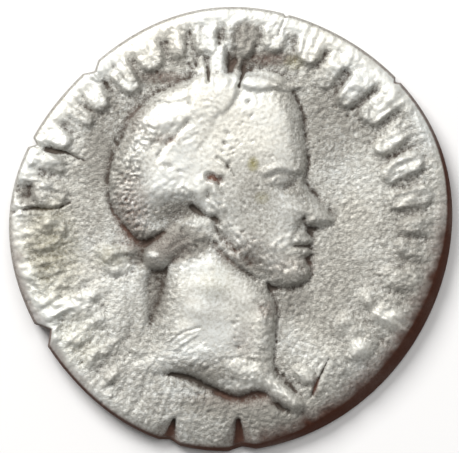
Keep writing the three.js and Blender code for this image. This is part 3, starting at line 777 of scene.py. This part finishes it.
def strike(coin, obverse, reverse):
    mesh = coin.data
    place = np.empty(len(mesh.vertices) * 3, dtype=np.float32)
    mesh.vertices.foreach_get("co", place)
    x, y, tier = place.reshape(-1, 3).astype(np.float64).T
    rimmed = np.hypot(x, y) > 0.9999
    corner = math.degrees(math.atan2(y[rimmed][0], x[rimmed][0])) % 60
    share, degrees = latticeToRound(x, y, corner)
    share = np.clip(share, 0, 1)
    topEdge = outlineRadius(degrees) - blank["edgeBulge"]
    lowEdge = topEdge + slopeOut(degrees)
    pull = splitDepth(degrees) * smoothStep(0.76, 1.0, share)

    def xy(radius):
        return radius * np.cos(np.radians(degrees)), radius * np.sin(np.radians(degrees))

    topX, topY = xy(share * topEdge - pull)
    lowX, lowY = xy(share * lowEdge - pull)
    topZ = blank["obverseField"] + sampled(obverse, topX, topY)
    lowZ = blank["reverseField"] - sampled(reverse, -lowX, lowY)
    lowZ = np.maximum(lowZ, 0)
    # the side is an arc from the reverse up to the obverse
    arc = math.radians(blank["edgeTurn"])
    turn = arc * (2 * tier - 1)
    bulge = (np.cos(turn) - math.cos(arc)) / (1 - math.cos(arc))
    up = (np.sin(turn) / math.sin(arc) + 1) / 2
    sideX, sideY = xy(lowEdge - pull + (topEdge - lowEdge) * up + blank["edgeBulge"] * bulge)
    sideZ = lowZ + (topZ - lowZ) * up
    isTop, isLow = tier > 0.999, tier < 0.001
    newX = np.where(isTop, topX, np.where(isLow, lowX, sideX))
    newY = np.where(isTop, topY, np.where(isLow, lowY, sideY))
    newZ = np.where(isTop, topZ, np.where(isLow, lowZ, sideZ))
    middle = np.array([newX.min() + newX.max(), newY.min() + newY.max(), 2 * newZ.min()]) / 2
    moved = (np.column_stack([newX, newY, newZ]) - middle) / 1000
    mesh.vertices.foreach_set("co", moved.astype(np.float32).ravel())
    mesh.update()
    return newX, newY, isTop, isLow, middle / 1000


metalGrain = {
    "layers": ((11, 0.12, 0.0105), (12, 0.30, 0.002), (13, 1.0, 0.008)),      # seed, mm across, mm high
    "bustPits": (19, 0.2, 0.008),
    "bustWaves": (20, 0.75, 0.014),
    "streaks": (14, 0.16, 1.3, 0.020),      # seed, mm across, mm long, mm high
}


def roughened(sheet, worn, headIn, neckIn):   # the grain of worn, once buried silver
    field = 1 - smoothStep(0.03, 0.2, sheet)
    onFace = smoothStep(0.0, 1.5, sheetX) * clip01(headIn / 0.3)
    throat = np.hypot((sheetX + 0.5) / 1.7, (sheetY + 3.2) / 1.9)
    onBust = clip01(neckIn / 0.2) * smoothStep(0.8, 1.3, throat)
    onRing = smoothStep(5.9, 6.9, sheetR)
    rough = 0.65 + 0.35 * field - 0.55 * worn + 0.25 * onFace + 0.8 * onBust + 0.55 * onRing
    rough = np.clip(rough, 0.12 + 0.22 * clip01(headIn / 0.3), 1.2)
    sheet = sheet + rough * sum(high * grain(seed, size) for seed, size, high in metalGrain["layers"])
    seed, size, high = metalGrain["bustPits"]
    sheet = sheet + onBust * rough * high * grain(seed, size)
    seed, size, high = metalGrain["bustWaves"]
    sheet = sheet + high * clip01(neckIn / 0.5) * grain(seed, size)
    seed, size, long, high = metalGrain["streaks"]
    return sheet + high * polarGrain(seed, size, long) * smoothStep(5.8, 7.5, sheetR)


def paintedEdgeShade():   # painted shade where the face rounds down to its edge, away from the lamp
    inward = outlineRadius(sheetAngle) - sheetR
    thin = smoothStep(0.30, 0.05, inward) * turnsNear(sheetAngle, 240, 75)
    uneven = inward + 0.06 * grain(56, 0.4)
    wide = 0.6 * smoothStep(0.55, 0.15, uneven) * turnsNear(sheetAngle, 206, 26)
    right = 0.95 * smoothStep(0.90, 0.0, uneven) * turnsNear(sheetAngle, 318, 58)
    return np.maximum(np.maximum(thin, wide), right)


wear = {
    "spread": 0.18,               # mm that heights are averaged over
    "relief": (0.30, 0.50),       # mm above the field, where wear begins and where it is full
    "ring": (0.11, 0.27),         # the same on the strokes
    "ringFrom": (5.9, 6.5),       # mm from the middle, where the strokes' own limits take over
    "reverse": (0.05, 0.15),
}
hollows = {   # share of the dark mix, dirt and painted shade in the recesses, mm that the surface is compared over, gain per mm of depth
    "obverse": ((0.40, 0.50, 3), (0.40, 0.20, 5), (0.35, 0.07, 12)),
    "reverse": ((0.35, 0.45, 4), (0.30, 0.15, 8)),
}


def below(sheet, layers):   # how far the surface lies below what is round it
    return sum(share * clip01(gain * (blur(sheet, reach) - sheet)) for share, reach, gain in layers)


print("cutting the dies")
obverse, headIn, neckIn = obverseSheet()
high = blur(obverse, wear["spread"])
worn = smoothStep(*wear["relief"], high)
worn = np.maximum(worn, smoothStep(*wear["ring"], high) * smoothStep(*wear["ringFrom"], sheetR))
obverse = roughened(obverse, worn, headIn, neckIn) - flanFall()
# how deep each place lies in a recess; it darkens the colour as dirt and as painted shade
hollow = below(obverse, hollows["obverse"])
reverse = reverseSheet()
wornLow = 0.25 + 0.7 * smoothStep(*wear["reverse"], blur(reverse, 0.12))
hollowLow = below(reverse, hollows["reverse"])

print("striking the blank")
coin = blankMesh()
newX, newY, isTop, isLow, middle = strike(coin, obverse, reverse)
bpy.ops.object.shade_smooth()


def carry(name, top, low, side):   # a value of the finish, for the obverse, the reverse and the side
    values = np.where(isTop, sampled(top, newX, newY), np.where(isLow, low, side))
    layer = coin.data.attributes.new(name, "FLOAT", "POINT")
    layer.data.foreach_set("value", values.astype(np.float32))


sideTurn = np.degrees(np.arctan2(newY, newX))
carry("hollow", hollow, sampled(hollowLow, -newX, newY), 0.12)
carry("worn", worn, sampled(wornLow, -newX, newY), 0.3)
# painted shade: the edge of the face darkened where it rounds away from the lamp, and the side darkest
# towards the lower right, away from the lamp
carry("side", paintedEdgeShade(), 0, 0.1 + 0.9 * turnsNear(sideTurn, 300, 130))
# dirt, with painted shadows beside the ribbon and under the bust and a painted highlight at the end of the
# knot
carry("grimeAndPaintedLight", soilAndPaintedLightSheet("grimeAndPaintedLight"), 0.3, 0.3)
carry("rustAndShade", soilAndPaintedLightSheet("rustAndShade"), 0, 0)
carry("olive", soilAndPaintedLightSheet("olive"), 0, 0)


class Socket:   # a node's output that can be added, subtracted and multiplied
    def __init__(self, finish, output):
        self.finish = finish
        self.output = output

    def __add__(self, other):
        return self.finish.maths("ADD", self, other)

    def __radd__(self, other):
        return self.finish.maths("ADD", other, self)

    def __sub__(self, other):
        return self.finish.maths("SUBTRACT", self, other)

    def __rsub__(self, other):
        return self.finish.maths("SUBTRACT", other, self)

    def __mul__(self, other):
        return self.finish.maths("MULTIPLY", self, other)

    def __rmul__(self, other):
        return self.finish.maths("MULTIPLY", other, self)


class Finish:   # a material and its nodes
    def __init__(self, name):
        self.material = bpy.data.materials.new(name)
        self.material.use_nodes = True
        self.tree = self.material.node_tree
        self.shader = self.tree.nodes["Principled BSDF"]

    def join(self, values, sockets):
        for key, value in values.items():
            if isinstance(value, Socket):
                self.tree.links.new(value.output, sockets[key])
            else:
                sockets[key].default_value = value

    def coat(self, values):
        self.join(values, self.shader.inputs)

    def node(self, kind, settings, values, out=0):
        made = self.tree.nodes.new("ShaderNode" + kind)
        for key, value in settings.items():
            setattr(made, key, value)
        self.join(values, made.inputs)
        return Socket(self, made.outputs[out])

    def maths(self, operation, first, second):
        return self.node("Math", {"operation": operation}, {0: first, 1: second})

    def clamped(self, value):
        return self.node("Clamp", {}, {"Value": value, "Min": 0, "Max": 1})

    def mix(self, share, first, second):   # two colours
        return self.node("Mix", {"data_type": "RGBA"}, {0: share, 6: first, 7: second}, 2)


silver = {
    "bright": (0.79, 0.765, 0.685, 1),
    "cool": (0.735, 0.745, 0.715, 1),
    "toned": (0.33, 0.315, 0.28, 1),       # where it isn't rubbed
    # dark brown of dirt in the recesses, also used as painted shade there
    "dirtAndShade": (0.075, 0.060, 0.048, 1),
    # reddish stains, also the colour of the painted shadow along the cut of the bust
    "rustAndShade": (0.14, 0.070, 0.050, 1),
    "olive": (0.27, 0.24, 0.09, 1),
    # reddish dark brown of painted shade with a painted reddish reflection, for the side and the edge
    "side": (0.070, 0.023, 0.012, 1),
    "roughness": 0.58,
    "metallic": 0.64,
    "specular": 0.2,
    "clouds": 0.35,        # each to the mm
    "specks": 8,
    "grains": 16,
    "bump": 0.00004,       # m
    "bumpStrength": 0.75,
}


def silverFinish():
    finish = Finish("wornSilver")
    where = finish.node("TexCoord", {}, {}, "Object")

    def attribute(name):
        return finish.node("Attribute", {"attribute_name": name}, {}, "Fac")

    def noise(perMm, detail):
        return finish.node("TexNoise", {}, {"Vector": where, "Scale": perMm * 1000, "Detail": detail}, "Fac")

    hollow, worn, side = attribute("hollow"), attribute("worn"), attribute("side")
    grimeAndPaintedLight, rustAndShade, olive = attribute("grimeAndPaintedLight"), attribute("rustAndShade"), attribute("olive")
    clouds = noise(silver["clouds"], 3) - 0.5
    specks = noise(silver["specks"], 2) - 0.5
    grains = noise(silver["grains"], 2) - 0.5
    metal = finish.mix(finish.clamped(clouds * 2.5 + specks * 1.2 + 0.5), silver["cool"], silver["bright"])
    toning = (1 - worn) * 0.62 + specks * 1.5 + clouds * 0.9 + grimeAndPaintedLight * 0.8
    colour = finish.mix(finish.clamped(toning), metal, silver["toned"])
    # dirt and painted shade in the recesses, with specks of dirt
    dirtAndShade = hollow * 2.6 + (grains - 0.07) * 1.3 + (grimeAndPaintedLight - 0.7) * 0.3
    colour = finish.mix(finish.clamped(dirtAndShade), colour, silver["dirtAndShade"])
    # reddish stains, and a painted shadow along the cut of the bust
    colour = finish.mix(finish.clamped(rustAndShade * (0.55 + hollow * 2 + grains * 1.5)), colour, silver["rustAndShade"])
    colour = finish.mix(finish.clamped(olive * (0.8 + grains)), colour, silver["olive"])
    # painted shade with a painted reddish reflection on the side and along the edge of the face
    colour = finish.mix(finish.clamped(side * (0.95 + clouds * 0.5)), colour, silver["side"])
    roughness = silver["roughness"] + 0.08 * (1 - worn) + specks * 0.12 + side * 0.25
    metallic = silver["metallic"] - hollow * 0.8 - side * 0.7
    height = ((specks + 0.5) * 0.7 + (grains + 0.5) * 0.6) * (1.2 - worn)
    bump = {"Strength": silver["bumpStrength"], "Distance": silver["bump"], "Height": height}
    finish.coat({
        "Base Color": colour, "Roughness": roughness, "Metallic": finish.clamped(metallic),
        "Normal": finish.node("Bump", {}, bump), "Specular IOR Level": silver["specular"],
    })
    return finish.material


print("toning the silver")
coin.data.materials.append(silverFinish())
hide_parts("coin")
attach(coin, "root")

studio = {
    "table": (0.86, 0.85, 0.84, 1),
    "tableRoughness": 0.8,
    "tableSize": 0.6,            # m
    "tableDrop": 0.00002,        # m below the coin, so that the two don't share a plane
    "world": 0.18,
    # degrees round and up, distance and size in m, watts
    "window": (125, 40, 0.30, 0.14, 1.04),
    "sky": (60, 70, 0.30, 0.20, 0.34),
    "cameraHeight": 0.2021,      # m
    "lens": 392,
    "clipFrom": 0.002,           # m
}


def areaLight(name):
    azimuth, elevation, distance, size, watts = studio[name]
    a, e = math.radians(azimuth), math.radians(elevation)
    outward = distance * math.cos(e)
    place = (outward * math.cos(a), outward * math.sin(a), distance * math.sin(e))
    bpy.ops.object.light_add(type="AREA", location=place, rotation=(math.pi / 2 - e, 0, a + math.pi / 2))
    lamp = bpy.context.object
    lamp.name = name
    lamp.data.size = size
    lamp.data.energy = watts


print("laying the coin on its table")
bpy.ops.mesh.primitive_plane_add(size=studio["tableSize"], location=(0, 0, -studio["tableDrop"]))
table = bpy.context.object
table.name = "paleTable"
paint = Finish("palePaint")
paint.coat({"Base Color": studio["table"], "Roughness": studio["tableRoughness"]})
table.data.materials.append(paint.material)

world = bpy.data.worlds.new("studio")
bpy.context.scene.world = world
world.use_nodes = True
background = world.node_tree.nodes["Background"]
background.inputs["Color"].default_value = (1, 1, 1, 1)
background.inputs["Strength"].default_value = studio["world"]
areaLight("window")
areaLight("sky")

bpy.ops.object.camera_add(location=(-middle[0], -middle[1], studio["cameraHeight"]), rotation=(0, 0, 0))
camera = bpy.context.object
camera.data.lens = studio["lens"]
camera.data.clip_start = studio["clipFrom"]
bpy.context.scene.camera = camera
bpy.context.scene.view_settings.view_transform = "Standard"
